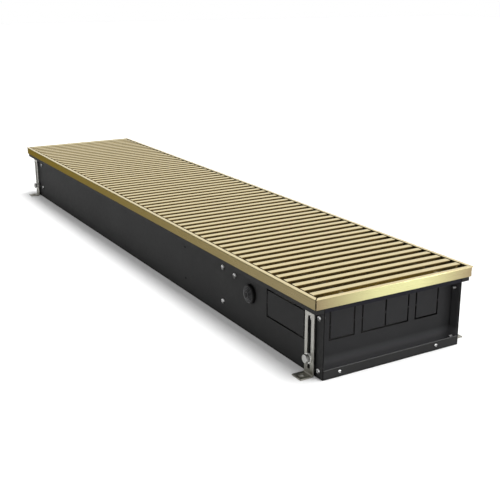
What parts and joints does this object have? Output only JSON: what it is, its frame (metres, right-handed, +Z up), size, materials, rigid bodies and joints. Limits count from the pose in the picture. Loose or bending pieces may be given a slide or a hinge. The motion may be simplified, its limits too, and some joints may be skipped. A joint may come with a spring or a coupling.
{
  "type": "trench convector heater",
  "caption": "Long sheet-steel trough for a floor trench with a framed lift-off grille of cross slats, finned water tubes, a crossflow fan, height-adjustable feet and a cable gland.",
  "frame": {"origin": "middle of the base, level with the trough's underside and the feet's soles", "axes": "+X along the trough to the pipe end, +Y across it away from the cable entry, +Z up"},
  "size_m": [1.238, 0.2814, 0.115],
  "materials": {
    "trough_paint": "matt black stove enamel on sheet steel",
    "plate_paint": "matt dark grey stove enamel on sheet steel",
    "frame_metal": "extruded, pale brass-coloured anodising",
    "slat_metal": "extruded, pale brass-coloured anodising",
    "key_steel": "plain steel",
    "grille_rubber": "matt black",
    "link_steel": "drawn spring steel",
    "link_plastic": "moulded, black",
    "fin_metal": "bare rolled foil",
    "tube_copper": "bare drawn copper",
    "fitting_brass": "turned brass",
    "bleed_metal": "nickel plated",
    "inner_sheet": "galvanised sheet steel",
    "wheel_metal": "rolled strip, dark",
    "shaft_steel": "ground steel",
    "bush_bronze": "sintered bronze",
    "bearing_rubber": "matt black",
    "motor_paint": "black stove enamel",
    "motor_steel": "zinc plated",
    "winding_copper": "lacquered copper winding",
    "box_plastic": "moulded, black",
    "block_plastic": "moulded, off-white",
    "board_laminate": "green lacquered laminate",
    "gland_rubber": "moulded, black",
    "foot_zinc": "zinc plated steel",
    "clamp_zinc": "zinc plated steel",
    "screw_zinc": "bright zinc plated steel"
  },
  "bodies": {
    "casing": {"trough_floor": "trough_paint", "trough_wall_front": "trough_paint", "trough_wall_rear": "trough_paint", "end_plate_connection": "plate_paint", "end_plate_closed": "plate_paint", "frame_rail_front": "frame_metal", "frame_rail_rear": "frame_metal", "frame_rail_connection": "frame_metal", "frame_rail_closed": "frame_metal", "frame_corner_keys": "key_steel", "grille_rest_strips": "grille_rubber", "exchanger_fins": "fin_metal", "exchanger_tubes": "tube_copper", "exchanger_bends": "tube_copper", "exchanger_fittings": "fitting_brass", "tube_grommets": "bearing_rubber", "bleed_valve_body": "fitting_brass", "bulkhead_connection": "inner_sheet", "bulkhead_closed": "inner_sheet", "fan_scroll": "inner_sheet", "fan_tongue": "inner_sheet", "fan_centre_support": "inner_sheet", "fan_bearings": "bush_bronze", "bearing_rubbers": "bearing_rubber", "motor_mount_plate": "motor_steel", "motor_housing": "motor_paint", "motor_end_cap": "motor_paint", "motor_stator": "winding_copper", "motor_screws": "screw_zinc", "terminal_box": "box_plastic", "terminal_block": "block_plastic", "control_board": "board_laminate", "cable_gland": "gland_rubber", "earth_bracket": "clamp_zinc", "earth_screw": "screw_zinc", "leg_clamp_screws": "clamp_zinc", "leg_split_washers": "clamp_zinc", "leg_clamp_washers": "clamp_zinc", "leg_rivet_nuts": "clamp_zinc", "leg_guide_screws": "screw_zinc", "end_plate_screws": "screw_zinc", "end_lip_screws": "screw_zinc", "end_lip_nuts": "screw_zinc", "bulkhead_screws": "screw_zinc"},
    "grille": {"grille_slats": "slat_metal", "grille_link_springs": "link_steel", "grille_spacers": "link_plastic", "grille_end_caps": "link_plastic"},
    "fan_rotor": {"fan_wheel_connection": "wheel_metal", "fan_wheel_closed": "wheel_metal", "fan_stub_shafts": "shaft_steel", "motor_rotor": "motor_steel", "motor_shaft": "shaft_steel"},
    "foot_front_connection": {"leg_front_connection": "foot_zinc"},
    "foot_front_closed": {"leg_front_closed": "foot_zinc"},
    "foot_rear_connection": {"leg_rear_connection": "foot_zinc"},
    "foot_rear_closed": {"leg_rear_closed": "foot_zinc"},
    "box_lid": {"terminal_lid": "box_plastic"},
    "bleed_spindle": {"bleed_screw": "bleed_metal"}
  },
  "joints": [
    {"name": "grille_lift", "type": "slide", "parent": "casing", "child": "grille", "axis": [0, 0, 1], "range_m": [0, 0.15]},
    {"name": "fan_spin", "type": "hinge", "parent": "casing", "child": "fan_rotor", "pos_m": [0, -0.066, 0.05], "axis": [1, 0, 0], "continuous": true},
    {"name": "foot_front_connection_drop", "type": "slide", "parent": "casing", "child": "foot_front_connection", "axis": [0, 0, -1], "range_m": [0, 0.045]},
    {"name": "foot_front_closed_drop", "type": "slide", "parent": "casing", "child": "foot_front_closed", "axis": [0, 0, -1], "range_m": [0, 0.045]},
    {"name": "foot_rear_connection_drop", "type": "slide", "parent": "casing", "child": "foot_rear_connection", "axis": [0, 0, -1], "range_m": [0, 0.045]},
    {"name": "foot_rear_closed_drop", "type": "slide", "parent": "casing", "child": "foot_rear_closed", "axis": [0, 0, -1], "range_m": [0, 0.045]},
    {"name": "box_lid_lift", "type": "slide", "parent": "casing", "child": "box_lid", "axis": [0, 0, 1], "range_m": [0, 0.03]},
    {"name": "bleed_turn", "type": "hinge", "parent": "casing", "child": "bleed_spindle", "pos_m": [0.3647, 0.018, 0.09], "axis": [0, 0, 1], "range_deg": [0, 360]}
  ]
}
